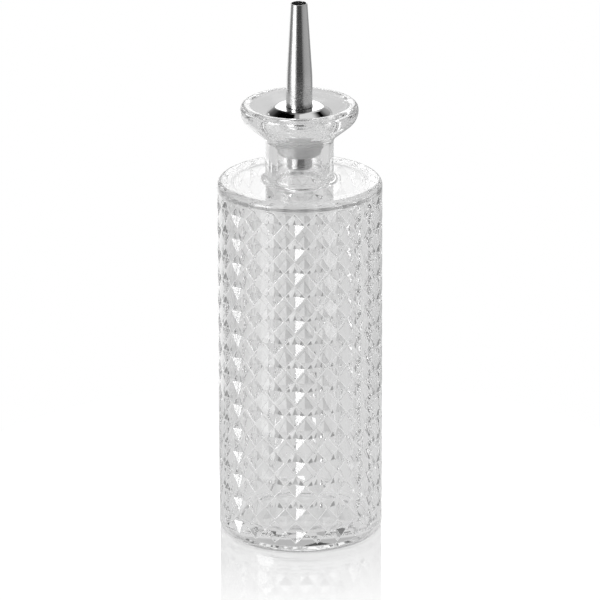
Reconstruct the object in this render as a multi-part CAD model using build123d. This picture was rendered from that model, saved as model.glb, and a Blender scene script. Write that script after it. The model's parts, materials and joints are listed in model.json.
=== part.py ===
from build123d import *
import math
import os

# Bitters bottle: a pressed glass bottle with a relief of sunk pyramids, closed by a steel dash pourer
# in a soft ribbed stopper. Millimetres, +Z up, origin at the centre of the base, on the surface that
# the bottle stands on. Every piece is turned about Z, and one column of the relief faces -Y.

# Glass, outside
body_radius = 32.0
shoulder_height = 143.9
shoulder_round = 2.5
heel_round = 2.4
neck_radius = 13.2
neck_foot_round = 2.4
neck_and_lip_height = 30.5
lip_radius = 22.85
lip_round = 2.5
lip_band = 0.2
flare_round = 6.5
flare_angle = 51.0
flare_foot_round = 4.5

# Glass, base: a flat ring to stand on, round a shallow push-up
push_up_depth = 1.0
push_up_side = 2.0
rest_ring_width = 7.0

# Glass, inside
wall_thickness = 4.5
base_thickness = 5.5
shoulder_thickness = 2.4
floor_round = 5.0
ceiling_round = 3.0
bore_radius = 9.2
bore_foot_round = 0.6
bore_mouth_round = 1.2
funnel_angle = 38.0
funnel_edge_round = 0.8
lip_inner_angle = 55.0
lip_inner_width = 0.9

# Relief: pyramids sunk into the wall, with flat diamonds left between them
relief_columns = 24
relief_row_pitch = 9.72
relief_drop = 3.65
relief_foot = 4.1
pit_depth = 1.65
pit_gap = 0.45
pit_overrun = 0.6

# Fits
seat_gap = 0.3
turn_gap = 0.05
rib_gap = 0.05
press_gap = 0.02

# Dome of polished sheet steel: a flat top, a slope round it, and a steeper brim
dome_radius = 13.15
dome_side_width = 3.95
dome_angle = 35.0
dome_round = 2.5
brim_width = 0.75
brim_angle = 62.0
brim_round = 1.5
dome_sheet = 0.5

# Spout and stem, one drawn tube
spout_radius = 5.1
spout_straight = 11.8
spout_length = 41.1
spout_taper = 3.58
spout_bend_round = 90.0
spout_wall = 0.42
tip_round = 0.2
bead_stand = 0.2
bead_height = 0.45
bead_round = 0.15
stem_step = 0.5
stem_below_stopper = 4.9

# Soft stopper
head_side_gap = 1.35
head_top_gap = 0.35
head_round = 0.5
boss_wall = 1.35
boss_round = 0.3
boss_gap = 0.1
rib_count = 3
rib_height = 1.5
rib_groove = 0.8
rib_depth = 0.85
rib_round = 0.3
nose_gap = 0.5
nose_taper = 0.3
nose_length = 4.3
nose_round = 2.6
throat_length = 0.5

# Cup on the stem's lower end
cup_wall = 0.3
cup_floor = 0.5
cup_round = 1.0
dash_hole_radius = 1.25


def rise(width, angle):
    """How far a slope climbs over a width."""
    return width * math.tan(math.radians(angle))


# Radii and levels that follow from the sizes above
rest_ring_radius = body_radius - rest_ring_width
push_up_radius = rest_ring_radius - push_up_side
glass_height = shoulder_height + neck_and_lip_height
lip_centre_height = glass_height - lip_round
flare_top = lip_centre_height - lip_band - rise(flare_round, flare_angle / 2)
flare_foot = flare_top - (lip_radius - neck_radius) / math.tan(math.radians(flare_angle))
lip_inner_radius = lip_radius - lip_round - lip_band - rise(lip_round, lip_inner_angle / 2)
funnel_radius = lip_inner_radius - lip_inner_width
funnel_height = glass_height - rise(lip_inner_width, lip_inner_angle)
inner_radius = body_radius - wall_thickness
ceiling_height = shoulder_height - shoulder_thickness
relief_top = shoulder_height - relief_drop
relief_rows = int((relief_top - relief_foot) / relief_row_pitch)


def funnel_level(radius):
    """Height of the funnel's glass at a radius."""
    return funnel_height - rise(funnel_radius - radius, funnel_angle)


bore_mouth = funnel_level(bore_radius)
stem_radius = spout_radius - stem_step
stem_hole_radius = stem_radius + turn_gap
bead_radius = spout_radius + bead_stand
dome_rim = funnel_level(dome_radius) + seat_gap
brim_radius = dome_radius - brim_width
brim_top = dome_rim + rise(brim_width, brim_angle)
dome_top_radius = dome_radius - dome_side_width
dome_seat = brim_top + rise(brim_radius - dome_top_radius, dome_angle)
spout_tip = dome_seat + spout_length
head_radius = dome_radius - dome_sheet - head_side_gap
head_bottom = funnel_level(head_radius) + seat_gap
head_top = brim_top + rise(brim_radius - head_radius, dome_angle) - dome_sheet - head_top_gap
boss_radius = stem_hole_radius + boss_wall
rib_radius = bore_radius - rib_gap
core_radius = rib_radius - rib_depth
nose_radius = bore_radius - nose_gap
nose_tip_radius = nose_radius - nose_taper
rib_pitch = rib_height + rib_groove
ribs_top = bore_mouth - bore_mouth_round - throat_length
ribs_bottom = ribs_top - rib_count * rib_pitch + rib_groove
stopper_bottom = ribs_bottom - nose_length
stem_bottom = stopper_bottom - stem_below_stopper
cup_bottom = stem_bottom - cup_floor


def turned(corners):
    """Turn a closed outline of (radius, height, rounding) corners about Z."""
    points = [(radius, height) for radius, height, _ in corners]
    roundings = [rounding for _, _, rounding in corners]
    outline = Plane.XZ * FilletPolyline(*points, radius=roundings, close=True)
    return revolve(make_face(outline), Axis.Z)


def glass_blank():
    """The bottle without its relief."""
    return turned(
        [
            (0, push_up_depth, 0),
            (push_up_radius, push_up_depth, 0),
            (rest_ring_radius, 0, 0),
            (body_radius, 0, heel_round),
            (body_radius, shoulder_height, shoulder_round),
            (neck_radius, shoulder_height, neck_foot_round),
            (neck_radius, flare_foot, flare_foot_round),
            (lip_radius, flare_top, flare_round),
            (lip_radius, glass_height, lip_round),
            (lip_inner_radius, glass_height, lip_round),
            (funnel_radius, funnel_height, funnel_edge_round),
            (bore_radius, bore_mouth, bore_mouth_round),
            (bore_radius, ceiling_height, bore_foot_round),
            (inner_radius, ceiling_height, ceiling_round),
            (inner_radius, base_thickness, floor_round),
            (0, base_thickness, 0),
        ]
    )


def pit_cutter():
    """A four-sided pyramid that points inward at -Y, with its base outside the wall."""
    apex = Vector(0, pit_depth - body_radius, 0)
    half_height = (relief_row_pitch - pit_gap) / 2
    half_angle = math.pi / relief_columns - pit_gap / 2 / body_radius
    side = Vector(body_radius * math.sin(half_angle), -body_radius * math.cos(half_angle), 0)
    rim = [
        Vector(0, -body_radius, half_height),
        side,
        Vector(0, -body_radius, -half_height),
        Vector(-side.X, side.Y, 0),
    ]
    reach = pit_depth + pit_overrun
    base = [apex + (point - apex) * (reach / (apex.Y - point.Y)) for point in rim]
    outlines = [[apex, base[i - 1], base[i]] for i in range(len(base))] + [base]
    return Solid(Shell([Face(Wire.make_polygon(outline)) for outline in outlines]))


def glass_bottle():
    """The blank with a pit at each place of the relief."""
    pit = pit_cutter()
    cutters = []
    for row in range(relief_rows):
        height = relief_top - relief_row_pitch * (row + 1 / 2)
        for column in range(relief_columns):
            cutters.append(Pos(0, 0, height) * Rot(0, 0, 360 * column / relief_columns) * pit)
    return glass_blank() - cutters


def under(radius, height, outer_slope, inner_slope):
    """Corner on the sheet's underside, below an outside corner between two slopes."""
    middle = math.radians(outer_slope + inner_slope) / 2
    reach = dome_sheet / math.cos(math.radians(outer_slope - inner_slope) / 2)
    return radius - reach * math.sin(middle), height - reach * math.cos(middle)


def dome_cap():
    """Pressed sheet: flat top with an open hole, slope and brim, all of one thickness."""
    brim_inside = dome_radius - dome_sheet / math.sin(math.radians(brim_angle))
    return turned(
        [
            (stem_hole_radius, dome_seat, 0),
            (dome_top_radius, dome_seat, dome_round),
            (brim_radius, brim_top, brim_round),
            (dome_radius, dome_rim, 0),
            (brim_inside, dome_rim, 0),
            (*under(brim_radius, brim_top, brim_angle, dome_angle), brim_round - dome_sheet),
            (*under(dome_top_radius, dome_seat, dome_angle, 0), dome_round - dome_sheet),
            (stem_hole_radius, dome_seat - dome_sheet, 0),
        ]
    )


def spout():
    """One tube: tapered above the dome, with a bead on the dome and a straight stem below it."""
    taper = math.tan(math.radians(spout_taper))
    bend = dome_seat + spout_straight
    tip_radius = spout_radius - (spout_tip - bend) * taper
    bead_top = dome_seat + bead_height
    return turned(
        [
            (stem_radius, stem_bottom, 0),
            (stem_radius, dome_seat, 0),
            (bead_radius, dome_seat, bead_round),
            (bead_radius, bead_top, bead_round),
            (spout_radius, bead_top, 0),
            (spout_radius, bend, spout_bend_round),
            (tip_radius, spout_tip, tip_round),
            (tip_radius - spout_wall, spout_tip, 0),
            (spout_radius - spout_wall, bend, spout_bend_round),
            (spout_radius - spout_wall, bead_top, 0),
            (stem_radius - spout_wall, bead_top - spout_wall, 0),
            (stem_radius - spout_wall, stem_bottom, 0),
        ]
    )


def rib_corners():
    """The stopper's side in the bore, from the lowest rib up."""
    corners = []
    for number in range(rib_count):
        bottom = ribs_bottom + number * rib_pitch
        top = bottom + rib_height
        start = nose_radius if number == 0 else core_radius
        corners += [
            (start, bottom, 0),
            (rib_radius, bottom, rib_round),
            (rib_radius, top, rib_round),
            (core_radius, top, 0),
        ]
    return corners


def stopper():
    """Soft plug: head in the funnel under the dome, ribs in the bore, and a plain nose."""
    boss_top = dome_seat - dome_sheet - boss_gap
    return turned(
        [(stem_hole_radius, stopper_bottom, 0), (nose_tip_radius, stopper_bottom, nose_round)]
        + rib_corners()
        + [
            (core_radius, funnel_level(core_radius) + seat_gap, 0),
            (head_radius, head_bottom, head_round),
            (head_radius, head_top, head_round),
            (boss_radius, head_top, boss_round),
            (boss_radius, boss_top, boss_round),
            (stem_hole_radius, boss_top, 0),
        ]
    )


def dash_cup():
    """Drawn cup over the stem's end, with a rounded floor and the dash hole."""
    inside_radius = stem_radius + press_gap
    outside_radius = inside_radius + cup_wall
    cup_top = stopper_bottom - seat_gap
    return turned(
        [
            (dash_hole_radius, cup_bottom, 0),
            (outside_radius, cup_bottom, cup_round),
            (outside_radius, cup_top, 0),
            (inside_radius, cup_top, 0),
            (inside_radius, stem_bottom - press_gap, 0),
            (dash_hole_radius, stem_bottom - press_gap, 0),
        ]
    )


nodes = {
    "glass_bottle": glass_bottle(),
    "stopper": stopper(),
    "dome_cap": dome_cap(),
    "spout": spout(),
    "dash_cup": dash_cup(),
}

os.makedirs("parts", exist_ok=True)
for name, shape in nodes.items():
    shape.label = name
    export_step(shape, f"parts/{name}.step")
    print(name, len(shape.solids()), "solid", round(shape.volume), "mm3")
print("glass height", round(glass_height, 2), "spout tip", round(spout_tip, 2))
print("stopper bottom", round(stopper_bottom, 2), "cup bottom", round(cup_bottom, 2))
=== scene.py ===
# %% [markdown]
# # Bitters bottle
# A clear pressed glass bottle with a relief of sunk pyramids, and a steel dash pourer that a soft
# stopper holds in its neck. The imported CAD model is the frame: each piece below is built where that
# model has it, in metres, stands in for its CAD node, and rides on the body that moves it.

# %% Frame
import json
import math

import bpy
import numpy as np
from mathutils import Matrix, Vector, noise


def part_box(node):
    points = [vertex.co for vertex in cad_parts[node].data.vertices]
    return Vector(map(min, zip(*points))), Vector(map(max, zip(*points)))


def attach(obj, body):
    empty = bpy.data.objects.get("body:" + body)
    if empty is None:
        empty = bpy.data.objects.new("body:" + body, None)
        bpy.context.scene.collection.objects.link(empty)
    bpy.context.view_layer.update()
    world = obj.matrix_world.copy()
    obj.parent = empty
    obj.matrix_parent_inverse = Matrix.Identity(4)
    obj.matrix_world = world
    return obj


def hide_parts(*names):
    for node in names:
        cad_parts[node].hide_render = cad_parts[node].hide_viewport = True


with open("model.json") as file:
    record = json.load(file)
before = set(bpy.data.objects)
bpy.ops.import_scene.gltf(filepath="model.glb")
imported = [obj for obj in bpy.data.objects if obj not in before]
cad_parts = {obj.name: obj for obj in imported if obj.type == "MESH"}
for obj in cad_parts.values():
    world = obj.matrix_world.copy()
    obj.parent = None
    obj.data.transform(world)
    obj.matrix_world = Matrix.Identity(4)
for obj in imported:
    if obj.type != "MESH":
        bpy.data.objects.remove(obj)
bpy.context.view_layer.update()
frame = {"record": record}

# %% [markdown]
# ## Units, colours and nodes
# The sizes are easiest to read in millimetres, and Blender works in metres, so one value is used
# wherever the two meet. Colours are written as the hex values that a picture editor shows, and one
# function turns them to the linear values that shaders expect.

# %% Units and colours
MM = 0.001


def linear(hex_colour):
    """Linear RGBA from an sRGB hex colour."""
    shares = [int(hex_colour[i : i + 2], 16) / 255 for i in (1, 3, 5)]
    rgb = [s / 12.92 if s <= 0.04045 else ((s + 0.055) / 1.055) ** 2.4 for s in shares]
    return (*rgb, 1.0)


def add_node(tree, kind, inputs=None, **settings):
    """Add a node, then set its properties, and set or link its inputs."""
    node = tree.nodes.new(kind)
    for key, value in settings.items():
        setattr(node, key, value)
    for key, value in (inputs or {}).items():
        if isinstance(value, bpy.types.NodeSocket):
            tree.links.new(value, node.inputs[key])
        else:
            node.inputs[key].default_value = value
    return node


print("mid grey #808080 is", round(linear("#808080")[0], 3), "linear")

# %% [markdown]
# ## Turned outlines
# Moulded glass, drawn tube and turned plugs share one thing: an outline spun about an axis. A Screw
# modifier with a Bevel could make them, but its shading normals are averages of the faces, and glass
# and polished steel show every such average as a dent. So an outline is a list of (radius, height,
# rounding) corners in millimetres, and each point also gets the normal that the drawing gives it.

# %% Outline with rounded corners
ARC_STEP = math.radians(9)


def rounded(corners):
    """Points of an outline, its normals towards the point before and after, and each one's corner.

    The outline runs anticlockwise in (radius, height), with the material on its left.
    """
    points, before, after, owners = [], [], [], []
    for number, (radius, height, rounding) in enumerate(corners):
        here = Vector((radius, height))
        back = (Vector(corners[number - 1][:2]) - here).normalized()
        onward = (Vector(corners[(number + 1) % len(corners)][:2]) - here).normalized()
        normal = Vector((-back.y, back.x))
        if not rounding:
            points.append(here)
            before.append(normal)
            after.append(Vector((onward.y, -onward.x)))
            owners.append(number)
            continue
        half = back.angle(onward) / 2
        centre = here + (back + onward).normalized() * (rounding / math.sin(half))
        start = here + back * (rounding / math.tan(half)) - centre
        turn = math.copysign(math.pi - 2 * half, back.y * onward.x - back.x * onward.y)
        steps = max(2, math.ceil(abs(turn) / ARC_STEP))
        for step in range(steps + 1):
            spin = Matrix.Rotation(turn * step / steps, 2)
            points.append(centre + spin @ start)
            before.append(spin @ normal)
            after.append(spin @ normal)
            owners.append(number)
    return points, before, after, owners


# %% [markdown]
# Each point of an outline is carried round the axis as a ring, and neighbouring rings are joined by
# four-cornered faces. The bottle has nearly a hundred thousand points, so numpy moves a whole ring at
# a time, which is quick and keeps the code short. A ring is kept as three arrays: its points, and the
# normals of the surface before it and after it, which differ at a sharp corner.

# %% Rings
def around(flat, angles):
    """A flat (radius, height) pair carried round the axis."""
    return np.column_stack([flat[0] * np.cos(angles), flat[0] * np.sin(angles), flat[1] + 0 * angles])


def spun(outline, angles):
    """Rings of an outline, each with its points and its normals before and after it."""
    points, before, after, _ = outline
    return [[around(flat, angles) for flat in ring] for ring in zip(points, before, after)]


def joined(rings, closed):
    """Points, four-cornered faces and their corners' normals, from rings in order."""
    count = len(rings[0][0])
    near, far = np.arange(count), (np.arange(count) + 1) % count
    quads, normals = [], []
    for low in range(len(rings) if closed else len(rings) - 1):
        high = (low + 1) % len(rings)
        after, before = rings[low][2], rings[high][1]
        here, there = low * count, high * count
        quads.append(np.stack([here + near, here + far, there + far, there + near], axis=1))
        normals.append(np.stack([after[near], after[far], before[far], before[near]], axis=1))
    return np.concatenate([ring[0] for ring in rings]), np.concatenate(quads), np.concatenate(normals)


# %% [markdown]
# Rings that shrink to the axis, or run together between two pits, leave points on top of each other.
# Those are welded, and faces that have lost a side or vanished are left out, so that each piece is one
# closed surface: glass needs that, because light has to find the place where it leaves. The drawn
# normals then go onto the corners of the faces.

# %% Mesh from faces
WELD_DECIMALS = 4


def solid_piece(name, points, quads, normals, edges=None):
    """Object whose touching points are welded, with the normals and edge values given."""
    _, first, same = np.unique(
        np.round(points, WELD_DECIMALS), axis=0, return_index=True, return_inverse=True
    )
    quads = same.reshape(-1)[quads]
    kept = quads != np.roll(quads, 1, axis=1)
    whole = kept.sum(axis=1) > 2
    mesh = bpy.data.meshes.new(name)
    faces = [quad[keep].tolist() for quad, keep in zip(quads[whole], kept[whole])]
    mesh.from_pydata((points[first] * MM).tolist(), [], faces)
    mesh.shade_smooth()
    mesh.normals_split_custom_set(normals[whole][kept[whole]].tolist())
    if edges is not None:
        mesh.attributes.new("edge", "FLOAT", "POINT").data.foreach_set("value", edges[first])
    piece = bpy.data.objects.new(name, mesh)
    bpy.context.scene.collection.objects.link(piece)
    print(name, len(mesh.vertices), "points", len(mesh.polygons), "faces")
    return piece


# %% [markdown]
# ## Sizes from the frame
# A node's box says how wide it is and where it starts and ends, so these sizes are read from the
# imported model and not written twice. What a box can't say, such as a rounding or a wall, follows
# here by name.

# %% Extents
def extent(node):
    """Outer radius, lowest level and highest level of a turned node, in millimetres."""
    low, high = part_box(node)
    return round(high.x / MM, 2), round(low.z / MM, 2), round(high.z / MM, 2)


BODY_RADIUS, _, GLASS_HEIGHT = extent("glass_bottle")
DOME_RADIUS, DOME_RIM, DOME_TOP = extent("dome_cap")
BEAD_RADIUS, STEM_BOTTOM, SPOUT_TIP = extent("spout")
HEAD_RADIUS, STOPPER_BOTTOM, BOSS_TOP = extent("stopper")
CUP_RADIUS, CUP_BOTTOM, CUP_TOP = extent("dash_cup")
print("body radius", BODY_RADIUS, "glass height", GLASS_HEIGHT, "spout tip", SPOUT_TIP)

# %% [markdown]
# ## The bottle's outline
# A mould gives the outside and a plunger the inside. The bottle has a heavy base on a ring round a
# shallow push-up, a flat shoulder, and a neck that flares to a thick rounded lip. Inside, the mouth
# is a funnel down to the bore that the stopper plugs.

# %% Bottle sizes
SHOULDER_HEIGHT = 143.9
SHOULDER_ROUND = 2.5
HEEL_ROUND = 2.4
NECK_RADIUS = 13.2
LIP_RADIUS = 22.85
LIP_ROUND = 2.5
LIP_BAND = 0.2
LIP_INNER_ANGLE = math.radians(55)
FLARE_ANGLE = math.radians(51)
FLARE_ROUND = 6.5
BORE_RADIUS = 9.2
FUNNEL_RADIUS = 17.95
FUNNEL_SLOPE = math.tan(math.radians(38))
WALL = 4.5
BASE = 5.5
SHOULDER_GLASS = 2.4
PUSH_UP_DEPTH = 1.0
PUSH_UP_RADIUS = 23.0
REST_RING_RADIUS = 25.0

ceiling = SHOULDER_HEIGHT - SHOULDER_GLASS
flare_top = GLASS_HEIGHT - LIP_ROUND - LIP_BAND - FLARE_ROUND * math.tan(FLARE_ANGLE / 2)
flare_foot = flare_top - (LIP_RADIUS - NECK_RADIUS) / math.tan(FLARE_ANGLE)
lip_inner_radius = LIP_RADIUS - LIP_ROUND - LIP_BAND - LIP_ROUND * math.tan(LIP_INNER_ANGLE / 2)
funnel_height = GLASS_HEIGHT - (lip_inner_radius - FUNNEL_RADIUS) * math.tan(LIP_INNER_ANGLE)
bore_mouth = funnel_height - (FUNNEL_RADIUS - BORE_RADIUS) * FUNNEL_SLOPE
print("flare", round(flare_foot, 2), "to", round(flare_top, 2), "bore mouth", round(bore_mouth, 2))

# %% [markdown]
# The outline starts at the axis under the base, goes up the outside, over the lip and down the
# inside. Three of its corners are needed again, because the relief lies between two corners of the
# outside, and the uneven inner wall between two of the inside.

# %% Bottle outline
WALL_FOOT, INNER_HEAD, INNER_FOOT = 3, 13, 14
bottle_outline = rounded(
    [
        (0, PUSH_UP_DEPTH, 0),
        (PUSH_UP_RADIUS, PUSH_UP_DEPTH, 1.5),
        (REST_RING_RADIUS, 0, 0.6),
        (BODY_RADIUS, 0, HEEL_ROUND),
        (BODY_RADIUS, SHOULDER_HEIGHT, SHOULDER_ROUND),
        (NECK_RADIUS, SHOULDER_HEIGHT, 2.4),
        (NECK_RADIUS, flare_foot, 4.5),
        (LIP_RADIUS, flare_top, FLARE_ROUND),
        (LIP_RADIUS, GLASS_HEIGHT, LIP_ROUND),
        (lip_inner_radius, GLASS_HEIGHT, LIP_ROUND),
        (FUNNEL_RADIUS, funnel_height, 0.8),
        (BORE_RADIUS, bore_mouth, 1.2),
        (BORE_RADIUS, ceiling, 0.6),
        (BODY_RADIUS - WALL, ceiling, 3.0),
        (BODY_RADIUS - WALL, BASE, 5.0),
        (0, BASE, 0),
    ]
)
print("bottle outline", len(bottle_outline[0]), "points")

# %% [markdown]
# ## The relief
# The mould is cut with four-sided pyramids, 24 round the bottle and 14 up it, which press pits into
# the wall and leave flat diamonds between them. A displaced grid would blur each facet, and cutting
# with Booleans gives long thin faces. So the grid follows the pattern: its rings run in zigzags
# along a pit's valley, along its edge, and along the thin rounding on either side of that edge, and
# each point's radius comes from the plane of its facet.

# %% Relief sizes
COLUMNS = 24
ROWS = 14
ROW_PITCH = 9.72
RELIEF_TOP = SHOULDER_HEIGHT - 3.65
PIT_DEPTH = 1.65
PIT_GAP = 0.45
EDGE_SHARE = 0.05
EDGE_DROP = 0.08
FACET_STEPS = 5
ROUNDING_ERROR = 0.001

column_angle = 2 * math.pi / COLUMNS
half_angle = column_angle / 2 - PIT_GAP / 2 / BODY_RADIUS
half_height = (ROW_PITCH - PIT_GAP) / 2
pit_floor = BODY_RADIUS - PIT_DEPTH
climb = PIT_DEPTH / half_height
lean = (BODY_RADIUS * math.cos(half_angle) - pit_floor) / (BODY_RADIUS * math.sin(half_angle))
print("facets tilt", round(math.degrees(math.atan(math.hypot(climb, lean))), 1), "degrees")


# %% [markdown]
# Seen from above, a facet is a straight line across the round wall, and it climbs evenly from the
# pit's middle. That gives its distance from the bottle's axis at any angle and height. Where it would
# pass the wall, the wall is the surface, and the flame has eased the edge between the two.

# %% Shape of one pit
def facet_radius(side, up):
    """Radius of a pit's facet at an angle and a height from the pit's middle."""
    side, up = np.abs(side), np.abs(up)
    return (pit_floor + climb * up) / (np.cos(side) - lean * np.sin(side))


def edge_value(side, up):
    """1 on the edge between a pit and the wall, falling to 0 where its rounding ends."""
    return np.clip(1 - np.abs(facet_radius(side, up) - BODY_RADIUS) / EDGE_DROP, 0, 1)


def pressed_radius(side, up):
    """Radius of the glass: facet or wall, whichever is deeper, with the edge between them eased."""
    deeper = np.minimum(facet_radius(side, up), BODY_RADIUS)
    return deeper - edge_value(side, up) ** 2 * EDGE_DROP / 4


def edge_height(side):
    """Height of a pit's edge over its middle, at an angle from the middle."""
    reach = BODY_RADIUS * (np.cos(side) - lean * np.sin(side)) - pit_floor
    return np.clip(reach / climb, 0, None)


# %% [markdown]
# All rings of the bottle, plain or pressed, have their points at the same angles, so they join
# without slivers. From a pit's middle the angles are even up to just inside its corner, and then come
# the corner itself and the border between two columns.

# %% Angles of the columns
inner_angle = half_angle * (1 - EDGE_SHARE)
half_column = np.append(np.linspace(0, inner_angle, FACET_STEPS + 1), half_angle)
tile_angles = np.concatenate([-half_column[:0:-1], half_column, [column_angle / 2]])
column_middles = -math.pi / 2 + column_angle * np.arange(COLUMNS)
bottle_angles = (column_middles[:, None] + tile_angles).ravel()
tile_sides = np.abs(np.tile(tile_angles, COLUMNS))
print("each ring has", len(bottle_angles), "points")


# %% [markdown]
# A row of pits takes eight rings. The one in the middle is level, along the valleys. On either side
# of it three zigzags go just inside the edges, along them, and just outside them, and the eighth is
# level again, at the border with the next row.

# %% Rings of the relief
def relief_rings():
    """Rings of points from the relief's foot to its top."""
    inner = (1 - EDGE_SHARE) * edge_height(tile_sides / (1 - EDGE_SHARE))
    share = half_angle / (column_angle / 2)
    outer = edge_height(tile_sides * share) * (ROW_PITCH / 2 / half_height)
    outer[tile_sides > half_angle * (1 + ROUNDING_ERROR)] = 0  # midway between two pits
    border = np.full_like(tile_sides, ROW_PITCH / 2)
    lines = [outer, edge_height(tile_sides), inner, 0 * inner]
    lines = [-line for line in lines] + lines[-2::-1] + [border]
    rings = [around((BODY_RADIUS, RELIEF_TOP - ROWS * ROW_PITCH), bottle_angles)]
    for row in reversed(range(ROWS)):
        middle = RELIEF_TOP - ROW_PITCH * (row + 0.5)
        for line in lines:
            radii = pressed_radius(tile_sides, line)
            rings.append(around((radii, middle + line), bottle_angles))
    return rings


# %% [markdown]
# Each facet is flat, so all its corners take the facet's own normal, and light stays even across it
# right up to the sharp valleys. The diamonds between the pits take the wall's normal, and the thin
# rounding turns from one to the other. That rounding, together with the painted highlight that the
# glass material lays along it, gives the fine bright lines of the cut pattern.

# %% Normals of the relief
def unit(vectors):
    """Vectors at length one."""
    return vectors / np.linalg.norm(vectors, axis=-1, keepdims=True)


def pit_of(points):
    """Heading of each point, and the heading and level of the pit that it is in."""
    headings = np.arctan2(points[:, 1], points[:, 0])
    columns = np.round((headings + math.pi / 2) / column_angle)
    rows = np.floor((RELIEF_TOP - points[:, 2]) / ROW_PITCH)
    return headings, columns * column_angle - math.pi / 2, RELIEF_TOP - ROW_PITCH * (rows + 0.5)


def relief_edges(points):
    """Edge value of the relief's points."""
    headings, pits, levels = pit_of(points)
    return edge_value(headings - pits, points[:, 2] - levels)


def relief_normals(corners):
    """Normals at the corners of the relief's faces, given as (faces, 4, 3) points."""
    middle = corners.mean(axis=1)
    headings, pits, levels = pit_of(middle)
    out = np.column_stack([np.cos(pits), np.sin(pits), 0 * pits])
    across = np.column_stack([-np.sin(pits), np.cos(pits), 0 * pits])
    sides = np.sign(headings - pits)[:, None]
    ups = np.sign(middle[:, 2] - levels)[:, None]
    facets = unit(out - lean * sides * across - climb * ups * np.array([0, 0, 1]))
    walls = unit(corners * np.array([1, 1, 0]))
    turns = np.arctan2(corners[..., 1], corners[..., 0]) - pits[:, None]
    turns = (turns + math.pi) % (2 * math.pi) - math.pi
    over = facet_radius(turns, corners[..., 2] - levels[:, None]) - BODY_RADIUS
    share = np.clip(0.5 + over / (2 * EDGE_DROP), 0, 1)[..., None]
    return unit(facets[:, None] * (1 - share) + walls * share)


# %% [markdown]
# The plunger touches the glass for a moment only, and the inside stays a little uneven. That
# unevenness is what makes the far side of the relief swim when it is seen through the near side, so
# the inner wall gets long waves of a tenth of a millimetre, and short ones of a quarter of that.
# They are in the mesh, not in a bump.

# %% Inner wall
WAVE_LENGTH = 11.0
WAVES = [(WAVE_LENGTH, 0.12), (4.0, 0.03)]
WALL_STEP = 1.7


def wavy_wall(top, bottom):
    """Rings down the inner wall, even at both ends."""
    rings = []
    for height in np.linspace(top, bottom, round((top - bottom) / WALL_STEP) + 1)[1:-1]:
        fade = min(1, (top - height) / WAVE_LENGTH, (height - bottom) / WAVE_LENGTH)
        ring = around((BODY_RADIUS - WALL, height), bottle_angles)
        swell = [sum(rise * noise.noise(Vector(p) / length) for length, rise in WAVES) for p in ring]
        radii = BODY_RADIUS - WALL + fade * np.array(swell)
        rings.append([around((radii, height), bottle_angles), 0 * ring, 0 * ring])
    return rings


# %% [markdown]
# Now the rings are put in order: the outline from the base to the foot of the wall, the relief, the
# shoulder, neck and lip, the funnel and bore, the uneven inner wall, and the floor.

# %% Bottle mesh
def glass_bottle():
    """The bottle as one closed mesh: outside, lip and inside."""
    owners = bottle_outline[3]
    turned = spun(bottle_outline, bottle_angles)
    foot = len(owners) - owners[::-1].index(WALL_FOOT)
    inner_top = len(owners) - owners[::-1].index(INNER_HEAD)
    inner_bottom = owners.index(INNER_FOOT)
    wall = turned[foot - 1][2]
    relief = [[points, wall, wall] for points in relief_rings()]
    waves = wavy_wall(bottle_outline[0][inner_top - 1].y, bottle_outline[0][inner_bottom].y)
    rings = turned[:foot] + relief + turned[foot:inner_top] + waves + turned[inner_top:]
    points, quads, normals = joined(rings, closed=False)
    count = len(bottle_angles)
    pressed = slice(foot * count, (foot + len(relief) - 1) * count)
    normals[pressed] = relief_normals(points[quads[pressed]])
    edges = np.zeros(len(points))
    relief_points = slice(foot * count, (foot + len(relief)) * count)
    edges[relief_points] = relief_edges(points[relief_points])
    return solid_piece("bottle_glass", points, quads, normals, edges)


bottle = glass_bottle()

# %% [markdown]
# ## The pourer
# A bar supplier's dash pourer: a drawn tube tapered to a small mouth, a pressed dome that covers the
# neck, a ribbed silicone stopper, and a drawn cup with a small hole that lets out single dashes.

# %% Pourer sizes
SEAT_GAP = 0.3
TURN_GAP = 0.05
PRESS_GAP = 0.02
STEM_RADIUS = 4.6
ROUND_STEPS = 144
ROUND_ANGLES = np.linspace(0, 2 * math.pi, ROUND_STEPS, endpoint=False)
hole = STEM_RADIUS + TURN_GAP
print("hole for the stem", round(hole, 2), "mm in radius,", ROUND_STEPS, "points round each piece")


def turned_piece(name, corners):
    """A piece that is one closed outline spun about the axis."""
    return solid_piece(name, *joined(spun(rounded(corners), ROUND_ANGLES), closed=True))


# %% [markdown]
# The dome is pressed from sheet half a millimetre thick: a flat top, a slope and a steeper brim, all
# turning softly into each other. A Solidify modifier could give a single surface its thickness, but
# the underside's corners are rounded more tightly than the outside's, so both are drawn.

# %% Dome
DOME_SHEET = 0.5
DOME_SIDE_WIDTH = 3.95
DOME_SLOPE = math.radians(35)
DOME_ROUND = 2.5
BRIM_WIDTH = 0.75
BRIM_SLOPE = math.radians(62)
BRIM_ROUND = 1.5


def under(radius, height, outer_slope, inner_slope):
    """Corner on the sheet's underside, below an outside corner between two slopes."""
    middle = (outer_slope + inner_slope) / 2
    reach = DOME_SHEET / math.cos((outer_slope - inner_slope) / 2)
    return radius - reach * math.sin(middle), height - reach * math.cos(middle)


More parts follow.
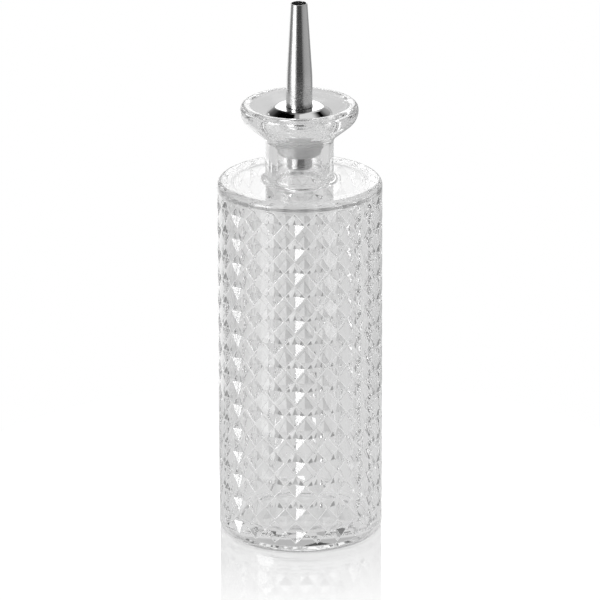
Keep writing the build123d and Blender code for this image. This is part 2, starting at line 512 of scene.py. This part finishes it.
def dome():
    """Pressed sheet: flat top, slope and brim, with an open hole."""
    knee = DOME_RADIUS - DOME_SIDE_WIDTH, DOME_TOP
    brim = DOME_RADIUS - BRIM_WIDTH, DOME_RIM + BRIM_WIDTH * math.tan(BRIM_SLOPE)
    return turned_piece(
        "polished_dome",
        [
            (hole, DOME_TOP - DOME_SHEET, 0),
            (*under(*knee, DOME_SLOPE, 0), DOME_ROUND - DOME_SHEET),
            (*under(*brim, BRIM_SLOPE, DOME_SLOPE), BRIM_ROUND - DOME_SHEET),
            (DOME_RADIUS - DOME_SHEET / math.sin(BRIM_SLOPE), DOME_RIM, 0.1),
            (DOME_RADIUS, DOME_RIM, 0.1),
            (*brim, BRIM_ROUND),
            (*knee, DOME_ROUND),
            (hole, DOME_TOP, 0),
        ],
    )


# %% [markdown]
# The tube's taper begins a little above the dome, with a bend so slow that it shows only in the
# reflections. Its bead stands a hair's breadth off the dome, which draws the dark ring at its foot.

# %% Spout
SPOUT_RADIUS = 5.1
SPOUT_STRAIGHT = 11.8
SPOUT_TAPER = math.tan(math.radians(3.58))
SPOUT_WALL = 0.42
BEND_ROUND = 90.0
BEAD_HEIGHT = 0.45
BEAD_GAP = 0.2


def spout():
    """One tube: tapered above the dome, a bead just over the dome, a straight stem below."""
    bend = DOME_TOP + SPOUT_STRAIGHT
    tip = SPOUT_RADIUS - (SPOUT_TIP - bend) * SPOUT_TAPER
    bead_top = DOME_TOP + BEAD_HEIGHT
    return turned_piece(
        "brushed_spout",
        [
            (STEM_RADIUS, STEM_BOTTOM, 0),
            (STEM_RADIUS, DOME_TOP + BEAD_GAP, 0),
            (BEAD_RADIUS, DOME_TOP + BEAD_GAP, 0.1),
            (BEAD_RADIUS, bead_top, 0.1),
            (SPOUT_RADIUS, bead_top, 0),
            (SPOUT_RADIUS, bend, BEND_ROUND),
            (tip, SPOUT_TIP, 0.2),
            (tip - SPOUT_WALL, SPOUT_TIP, 0.15),
            (SPOUT_RADIUS - SPOUT_WALL, bend, BEND_ROUND),
            (SPOUT_RADIUS - SPOUT_WALL, bead_top, 0),
            (STEM_RADIUS - SPOUT_WALL, bead_top - SPOUT_WALL, 0),
            (STEM_RADIUS - SPOUT_WALL, STEM_BOTTOM, 0),
        ],
    )


# %% [markdown]
# The stopper is moulded in one piece. Its head lies in the funnel under the dome, its ribs grip the
# bore, and a plain nose guides it in. Only the ribs and the nose are seen, through the neck, and all
# of it when the pourer is pulled out, so it is whole.

# %% Stopper
RIB_COUNT = 3
RIB_HEIGHT = 1.5
RIB_PITCH = 2.3
RIB_ROUND = 0.3
RIB_RADIUS = BORE_RADIUS - 0.05
CORE_RADIUS = RIB_RADIUS - 0.85
NOSE_RADIUS = BORE_RADIUS - 0.5
NOSE_LENGTH = 4.3
NOSE_TAPER = 0.3
NOSE_ROUND = 2.6
HEAD_ROUND = 0.5
HEAD_TOP = DOME_RIM + 1.33
BOSS_RADIUS = hole + 1.35
BOSS_ROUND = 0.3


def rib_corners():
    """The stopper's side in the bore, from the lowest rib up."""
    corners = []
    for number in range(RIB_COUNT):
        bottom = STOPPER_BOTTOM + NOSE_LENGTH + number * RIB_PITCH
        corners += [
            (NOSE_RADIUS if number == 0 else CORE_RADIUS, bottom, 0),
            (RIB_RADIUS, bottom, RIB_ROUND),
            (RIB_RADIUS, bottom + RIB_HEIGHT, RIB_ROUND),
            (CORE_RADIUS, bottom + RIB_HEIGHT, 0),
        ]
    return corners


def stopper():
    """Head under the dome, ribs in the bore, a plain nose below."""
    funnel_gap = funnel_height + SEAT_GAP - FUNNEL_RADIUS * FUNNEL_SLOPE
    return turned_piece(
        "silicone_stopper",
        [(hole, STOPPER_BOTTOM, 0), (NOSE_RADIUS - NOSE_TAPER, STOPPER_BOTTOM, NOSE_ROUND)]
        + rib_corners()
        + [
            (CORE_RADIUS, funnel_gap + CORE_RADIUS * FUNNEL_SLOPE, 0),
            (HEAD_RADIUS, funnel_gap + HEAD_RADIUS * FUNNEL_SLOPE, HEAD_ROUND),
            (HEAD_RADIUS, HEAD_TOP, HEAD_ROUND),
            (BOSS_RADIUS, HEAD_TOP, BOSS_ROUND),
            (BOSS_RADIUS, BOSS_TOP, BOSS_ROUND),
            (hole, BOSS_TOP, 0),
        ],
    )


# %% [markdown]
# The cup is drawn from thin sheet and pressed over the end of the tube. The hole in its floor lets
# the bitters out in single dashes, and its rim keeps the stopper from slipping off the tube.

# %% Dash cup
DASH_HOLE_RADIUS = 1.25


def dash_cup():
    """Drawn cup over the stem's end, with the dash hole in its floor."""
    inside = STEM_RADIUS + PRESS_GAP
    return turned_piece(
        "brushed_cup",
        [
            (DASH_HOLE_RADIUS, CUP_BOTTOM, 0),
            (CUP_RADIUS, CUP_BOTTOM, 1.0),
            (CUP_RADIUS, CUP_TOP, 0),
            (inside, CUP_TOP, 0),
            (inside, STEM_BOTTOM - PRESS_GAP, 0),
            (DASH_HOLE_RADIUS, STEM_BOTTOM - PRESS_GAP, 0),
        ],
    )


# %% [markdown]
# ## Materials
# Each material starts from what the real one is. The shader's own numbers are typical of it, and the
# pattern on top is worked out from a real size in millimetres. Where the real pattern is too fine to
# show in a picture of the whole bottle, it is drawn as coarse as it has to be, and a comment says so.

# %% New material
def new_material(name):
    """An empty node material and its tree."""
    material = bpy.data.materials.new(name)
    material.use_nodes = True
    material.node_tree.nodes.clear()
    print("material", name)
    return material, material.node_tree


def principled(tree, values):
    """The surface of a material, with a Principled shader's values."""
    shader = add_node(tree, "ShaderNodeBsdfPrincipled", values)
    add_node(tree, "ShaderNodeOutputMaterial", {"Surface": shader.outputs["BSDF"]})


def per_metre(millimetres):
    """How often a length fits in the metre that a texture's scale counts in."""
    return 1 / (millimetres * MM)


# %% [markdown]
# ** Soda-lime glass**, pressed and then fire polished: the flame melts the skin smooth, so it has no
# roughness at all, bends light by 1.52 and has no colour in a wall this thin. What gives the eye
# something to hold is the skin's slow unevenness, and the edges of the relief, which the flame draws
# into fine beads. A bead is a lens thinner than a pixel and would only give noise, so the light it
# gathers is a painted highlight instead: along the edge attribute that the mesh carries, transmission
# gives way to the white base colour, and that draws a whitish line.

# %% Glass
SKIN_WAVE = 6.0
SKIN_DEPTH = 0.0015
# Share of the glass that turns white on the relief's edges: the painted highlight of the beads.
BEAD_PAINTED_HIGHLIGHT = 0.7


def soda_lime_glass():
    """Pressed and fire polished soda-lime glass, with a painted highlight along the relief's edges."""
    material, tree = new_material("soda_lime_glass_fire_polished")
    place = add_node(tree, "ShaderNodeTexCoord").outputs["Object"]
    skin = add_node(tree, "ShaderNodeTexNoise", {"Vector": place, "Scale": per_metre(SKIN_WAVE)})
    height = {"Height": skin.outputs["Fac"], "Distance": SKIN_DEPTH * MM}
    # Painted highlight: on the edges, transmission gives way to the white base colour.
    edge = add_node(tree, "ShaderNodeAttribute", attribute_name="edge")
    clear = {"Value": edge.outputs["Fac"], "To Min": 1.0, "To Max": 1 - BEAD_PAINTED_HIGHLIGHT}
    principled(
        tree,
        {
            "Base Color": linear("#ffffff"),
            "Roughness": 0.0,
            "IOR": 1.52,
            "Transmission Weight": add_node(tree, "ShaderNodeMapRange", clear).outputs["Result"],
            "Normal": add_node(tree, "ShaderNodeBump", height).outputs["Normal"],
        },
    )
    return material


# %% [markdown]
# **Silicone rubber**, moulded: milky and satin. Light goes in, scatters many times and comes out
# again, so it is nearly all white body, with a tenth of transmission and the low index of silicone,
# 1.41. The mould's eroded steel leaves a grain of about 0.05 mm, drawn here at 0.5 mm, which is just
# coarse enough to show.

# %% Silicone
MOULD_GRAIN = 0.5
GRAIN_DEPTH = 0.02


def silicone():
    """Moulded translucent silicone rubber."""
    material, tree = new_material("silicone_rubber_moulded")
    place = add_node(tree, "ShaderNodeTexCoord").outputs["Object"]
    grain = add_node(tree, "ShaderNodeTexNoise", {"Vector": place, "Scale": per_metre(MOULD_GRAIN)})
    height = {"Height": grain.outputs["Fac"], "Distance": GRAIN_DEPTH * MM}
    principled(
        tree,
        {
            "Base Color": linear("#fafafa"),
            "Roughness": 0.3,
            "IOR": 1.41,
            "Transmission Weight": 0.1,
            "Normal": add_node(tree, "ShaderNodeBump", height).outputs["Normal"],
        },
    )
    return material


# %% [markdown]
# **Stainless steel sheet**, pressed and mirror polished: a light neutral grey that reflects about
# seven tenths of the light. It is buffed while it spins, which leaves the faintest rings about the
# axis. Buffing marks are a few hundredths of a millimetre apart, and are drawn at 0.4 mm.

# %% Rings about the axis
ACROSS = 60


def rings(tree, spacing, depth):
    """Fine rings on a turned piece: a noise that changes along the axis and hardly round it."""
    place = add_node(tree, "ShaderNodeTexCoord").outputs["Object"]
    length = per_metre(spacing)
    scale = (ACROSS, ACROSS, length)
    squeeze = add_node(tree, "ShaderNodeMapping", {"Vector": place, "Scale": scale})
    noise_values = {"Vector": squeeze.outputs["Vector"], "Scale": 1.0, "Detail": 3.0}
    marks = add_node(tree, "ShaderNodeTexNoise", noise_values).outputs["Fac"]
    bump = add_node(tree, "ShaderNodeBump", {"Height": marks, "Distance": depth * MM})
    return marks, bump.outputs["Normal"]


# %% Polished steel
BUFF_SPACING = 0.4
BUFF_DEPTH = 0.0004


def polished_steel():
    """Stainless steel sheet, pressed and mirror polished."""
    material, tree = new_material("stainless_steel_mirror_polished")
    marks, normal = rings(tree, BUFF_SPACING, BUFF_DEPTH)
    haze = add_node(tree, "ShaderNodeMapRange", {"Value": marks, "To Min": 0.01, "To Max": 0.03})
    principled(
        tree,
        {
            "Base Color": linear("#dcdcdc"),
            "Metallic": 1.0,
            "Roughness": haze.outputs["Result"],
            "Normal": normal,
        },
    )
    return material


# %% [markdown]
# **Stainless steel tube**, drawn and then brushed while it turns, so the scratches run round it.
# Scratches smear a reflection across themselves: here along the tube, which is why a window shows
# as a long upright band. The Tangent node points round the axis, along the scratches, so the
# anisotropy is turned by a quarter. Grit 240 scratches about 0.06 mm apart; they show from 0.4 mm on.

# %% Brushed steel
SCRATCH_SPACING = 0.4
SCRATCH_DEPTH = 0.002


def brushed_steel():
    """Stainless steel tube, brushed round its axis with fine grit."""
    material, tree = new_material("stainless_steel_brushed")
    marks, normal = rings(tree, SCRATCH_SPACING, SCRATCH_DEPTH)
    around_axis = add_node(tree, "ShaderNodeTangent", direction_type="RADIAL", axis="Z")
    rough = add_node(tree, "ShaderNodeMapRange", {"Value": marks, "To Min": 0.2, "To Max": 0.32})
    principled(
        tree,
        {
            "Base Color": linear("#c8c8c8"),
            "Metallic": 1.0,
            "Roughness": rough.outputs["Result"],
            "Anisotropic": 0.6,
            "Anisotropic Rotation": 0.25,
            "Tangent": around_axis.outputs["Tangent"],
            "Normal": normal,
        },
    )
    return material


# %% [markdown]
# ## Dressing the frame
# Every piece now takes the place of its CAD node. The node stays hidden in the model for its
# collisions, and the piece rides on the body that the record puts that node in, so the pourer lifts
# with its stopper and turns in it.

# %% Dressing
brushed = brushed_steel()
dressed = {
    "glass_bottle": (bottle, soda_lime_glass(), "clear_glass"),
    "dome_cap": (dome(), polished_steel(), "polished_steel"),
    "spout": (spout(), brushed, "brushed_steel"),
    "stopper": (stopper(), silicone(), "soft_stopper"),
    "dash_cup": (dash_cup(), brushed, "brushed_steel"),
}
for body, nodes in frame["record"]["behaviour"]["bodies"].items():
    for node in nodes:
        piece, material, slot = dressed[node]
        piece.data.materials.append(material)
        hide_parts(node)
        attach(piece, body)
        print(piece.name, "stands for", node, "on", body)

# %% [markdown]
# ## The table
# A small disc of white lacquered board. The camera sees it as pure white with a soft shadow, and
# with the bottle's reflection, which is strong at its foot and fades away from it: a mix of light of
# its own, paint and gloss does that, the gloss by distance. Every other ray sees a plain light grey,
# because that is what a table under a bottle looks like through its glass.

# %% Table lacquer
REFLECTION_NEAR, REFLECTION_FAR = (30, 0.36), (80, 0.04)
SHADOW_SHARE = 0.3
TABLE_IN_GLASS = 0.68


def mixed(tree, share, first, second):
    """Two shaders mixed, the second by a share."""
    return add_node(tree, "ShaderNodeMixShader", {"Fac": share, 1: first, 2: second}).outputs[0]


def lacquer():
    """White lacquer whose gloss fades with the distance from the bottle."""
    material, tree = new_material("table_lacquer_white")
    white = linear("#ffffff")
    place = add_node(tree, "ShaderNodeTexCoord").outputs["Object"]
    away = add_node(tree, "ShaderNodeVectorMath", {0: place}, operation="LENGTH").outputs["Value"]
    fade = {"Value": away, "From Min": REFLECTION_NEAR[0] * MM, "From Max": REFLECTION_FAR[0] * MM}
    fade |= {"To Min": REFLECTION_NEAR[1], "To Max": REFLECTION_FAR[1]}
    share = add_node(tree, "ShaderNodeMapRange", fade).outputs["Result"]
    glow = add_node(tree, "ShaderNodeEmission", {"Color": white}).outputs[0]
    paint = add_node(tree, "ShaderNodeBsdfDiffuse", {"Color": white}).outputs[0]
    gloss = add_node(tree, "ShaderNodeBsdfGlossy", {"Color": white, "Roughness": 0.02}).outputs[0]
    grey = add_node(tree, "ShaderNodeEmission", {"Color": white, "Strength": TABLE_IN_GLASS}).outputs[0]
    seen = add_node(tree, "ShaderNodeLightPath").outputs["Is Camera Ray"]
    board = mixed(tree, SHADOW_SHARE, glow, paint)
    whole = mixed(tree, seen, grey, mixed(tree, share, board, gloss))
    add_node(tree, "ShaderNodeOutputMaterial", {"Surface": whole})
    return material


# %% Table
TABLE_RADIUS = 160


def table():
    """A disc under the bottle, which keeps its reflection."""
    mesh = bpy.data.meshes.new("table_top")
    ring = around((TABLE_RADIUS * MM, 0), ROUND_ANGLES)
    mesh.from_pydata(ring.tolist(), [], [tuple(range(len(ring)))])
    piece = bpy.data.objects.new("table_top", mesh)
    bpy.context.scene.collection.objects.link(piece)
    mesh.materials.append(lacquer())


table()
print("table", 2 * TABLE_RADIUS, "mm across")

# %% [markdown]
# ## The studio
# Glass and polished steel have no colour of their own: what they show is the room. The photograph's
# room can be read back from the steel, since each point of a dome or a tube mirrors one direction.
# Lamps and cards could be built as objects, but small bright lamps make fireflies in thick glass. So
# the world itself is painted with that room's cards, each laid over the ones before it.

# %% Directions
CAMERA_AZIMUTH = -86.6
world = bpy.data.worlds.new("studio")
bpy.context.scene.world = world
world.use_nodes = True
tree = world.node_tree
tree.nodes.clear()


def worked(operation, first, second=0.0):
    """The result of one Math node in the world's tree."""
    return add_node(tree, "ShaderNodeMath", {0: first, 1: second}, operation=operation).outputs[0]


direction = add_node(tree, "ShaderNodeTexCoord").outputs["Generated"]
split = add_node(tree, "ShaderNodeSeparateXYZ", {"Vector": direction}).outputs
heading = worked("DEGREES", worked("ARCTAN2", split["Y"], split["X"]))
elevation = worked("DEGREES", worked("ARCSINE", split["Z"]))


def within(distance, half, soft):
    """1 where a distance is under half, easing to 0 over soft."""
    values = {"Value": distance, "From Min": half + soft / 2, "From Max": half - soft / 2}
    return add_node(tree, "ShaderNodeMapRange", values, interpolation_type="SMOOTHSTEP").outputs[0]


def card(across, up, soft):
    """Mask of a card between two angles across from the camera's side and two angles up."""
    middle, half = CAMERA_AZIMUTH + (across[0] + across[1]) / 2, (across[1] - across[0]) / 2
    turned = worked("FRACT", worked("DIVIDE", worked("ADD", heading, 900 - middle), 360))
    aside = worked("MULTIPLY", worked("ABSOLUTE", worked("SUBTRACT", turned, 0.5)), 360)
    above = worked("ABSOLUTE", worked("SUBTRACT", elevation, (up[0] + up[1]) / 2))
    return worked("MULTIPLY", within(aside, half, soft), within(above, (up[1] - up[0]) / 2, soft))


def painted(room, cards):
    """Brightness of a room with cards laid over it in order."""
    for across, up, soft, brightness in cards:
        values = {"Factor": card(across, up, soft), "A": room, "B": brightness}
        room = add_node(tree, "ShaderNodeMix", values, data_type="FLOAT").outputs["Result"]
    return room


# %% [markdown]
# Angles are in degrees. Across, 0 is the camera's side and plus is to the right of the picture; up, 0
# is level. The last two numbers are the softness of the card's edge and its brightness, where 1 is
# white paper. Steel mirrors a room of strong contrasts, with a soft box in front on the left and a
# dark space round the camera. Through the glass the room looks evener, as each pit mixes directions.

# %% Cards
MIRRORED = [
    ((-200, 200), (-100, -21), 6, 0.3),  # table
    ((-156, -129), (-64, 56), 24, 0.09),  # dark corner of the room
    ((48, 120), (-41, 45), 8, 0.83),  # wall on the right
    ((-3, 149), (-11, 37), 24, 0.32),  # its shaded part
    ((-14, 67), (1, 50), 18, 0.06),  # dark wall behind the camera
    ((-117, -56), (-4, 80), 4, 0.0),  # black card on the left
    ((98, 172), (38, 100), 3, 0.95),  # ceiling on the right
    ((115, 145), (32, 56), 20, 0.0),  # head of a stand
    ((-183, -54), (35, 68), 11, 0.01),  # black card hung at the back
    ((-132, -103), (30, 80), 6, 0.0),  # its edge
    ((163, 182), (8, 21), 14, 1.35),  # backdrop
    ((166, 194), (13, 27), 8, 2.3),  # lamp on it
    ((-148, -144), (15, 19), 6, 9.0),  # second lamp on it
    ((-174, -124), (-61, -3), 13, 1.45),  # far edge of the table
    ((-110, -97), (-21, 59), 3, 0.22),  # gap in the cards
    ((-67, -38), (-77, 60), 17, 0.76),  # frame of the soft box
    ((-75, -35), (-79, 6), 24, 1.74),  # soft box
    ((-65, -40), (-2, 30), 4, 9.0),  # its lamp
    ((-24, 34), (-20, 47), 7, 0.01),  # dark space round the camera
]
SEEN_THROUGH = [
    ((-200, 200), (-100, -24), 6, 0.68),  # table
    ((-90, -40), (-100, -24), 14, 1.35),  # table under the soft box
    ((-32, 34), (-75, -25), 14, 0.1),  # front edge of the table
    ((-200, -112), (-6, 40), 14, 0.5),  # backdrop on the left
    ((-172, -150), (-16, -2), 5, 0.73),  # light patch on it
    ((152, 172), (-18, -2), 5, 0.54),  # dark patch on it
    ((150, 215), (1, 15), 4, 0.26),  # gap between table and backdrop
    ((150, 215), (9, 15), 4, 0.03),  # its dark upper half
    ((138, 224), (17, 23), 5, 0.42),  # rail across the backdrop
    ((150, 212), (27, 62), 8, 1.0),  # lit wall above it
    ((140, 222), (28, 34), 3, 0.05),  # second rail
    ((-72, -30), (28, 72), 8, 2.2),  # soft box over the camera
    ((-65, 45), (8, 34), 14, 1.1),  # front wall
    ((-185, -120), (45, 64), 10, 0.45),  # black card hung at the back
    ((-66, -24), (-26, 2), 8, 2.2),  # soft box
    ((-16, 42), (-30, 2), 8, 0.03),  # dark space round the camera
    ((94, 99), (-30, -10), 4, 0.35),  # narrow black card on the right
    ((-104, -96), (-30, 40), 4, 0.3),  # narrow black card on the left
]
print(len(MIRRORED), "cards for steel,", len(SEEN_THROUGH), "seen through glass")

# %% [markdown]
# The Light Path node says where a ray comes from. One that steel or glass mirrored reads the first
# list, one that came through glass the second, and all others see white: those from the camera, for
# the white background, and those that the table scatters, or the stopper once it is out of the neck.

# %% World
path = add_node(tree, "ShaderNodeLightPath").outputs
room = add_node(tree, "ShaderNodeBackground", {"Strength": 1.0}).outputs[0]
tree.nodes["Background"].inputs["Color"].default_value = linear("#ffffff")
for ray, brightness in [
    ("Is Glossy Ray", painted(0.45, MIRRORED)),
    ("Is Transmission Ray", painted(0.66, SEEN_THROUGH)),
]:
    values = {"Color": linear("#ffffff"), "Strength": brightness}
    part = add_node(tree, "ShaderNodeBackground", values).outputs[0]
    room = mixed(tree, path[ray], room, part)
add_node(tree, "ShaderNodeOutputWorld", {"Surface": room})
print("the world is painted with", len(tree.nodes), "nodes")

# %% [markdown]
# ## The camera
# The photograph is 600 pixels square. The ellipses of the lip and the shoulder, the table's line and
# the rows of the relief fit one camera 1.9 m away that looks 20 degrees down, with a long lens.

# %% Camera
CAMERA_DISTANCE = 1.9
CAMERA_HEIGHT = 0.77942
CAMERA_DOWN = 19.838
CAMERA_ROLL = -0.22
CAMERA_LENS = 311.06
camera_data = bpy.data.cameras.new("camera")
camera = bpy.data.objects.new("camera", camera_data)
bpy.context.scene.collection.objects.link(camera)
bpy.context.scene.camera = camera
camera_data.sensor_width = 36
camera_data.lens = CAMERA_LENS
away = Vector((math.cos(math.radians(CAMERA_AZIMUTH)), math.sin(math.radians(CAMERA_AZIMUTH)), 0))
camera.location = away * CAMERA_DISTANCE + Vector((0, 0, CAMERA_HEIGHT))
ahead = Vector((0, 0, -math.tan(math.radians(CAMERA_DOWN)))) - away
roll = Matrix.Rotation(math.radians(CAMERA_ROLL), 3, "Z").to_quaternion()
camera.rotation_mode = "QUATERNION"
camera.rotation_quaternion = ahead.to_track_quat("-Z", "Y") @ roll
print("camera", [round(v, 3) for v in camera.location], "lens", round(camera_data.lens, 1), "mm")

# %% [markdown]
# Colours are shown as written, so the view transform is Standard. A path through this bottle meets
# up to a dozen surfaces of glass, and one that is cut short comes out black, so many bounces are
# allowed.

# %% Colour and bounces
bpy.context.scene.view_settings.view_transform = "Standard"
cycles = bpy.context.scene.cycles
cycles.max_bounces = 32
cycles.transmission_bounces = 32
cycles.glossy_bounces = 16
cycles.diffuse_bounces = 16
print("paths may bounce", cycles.max_bounces, "times")
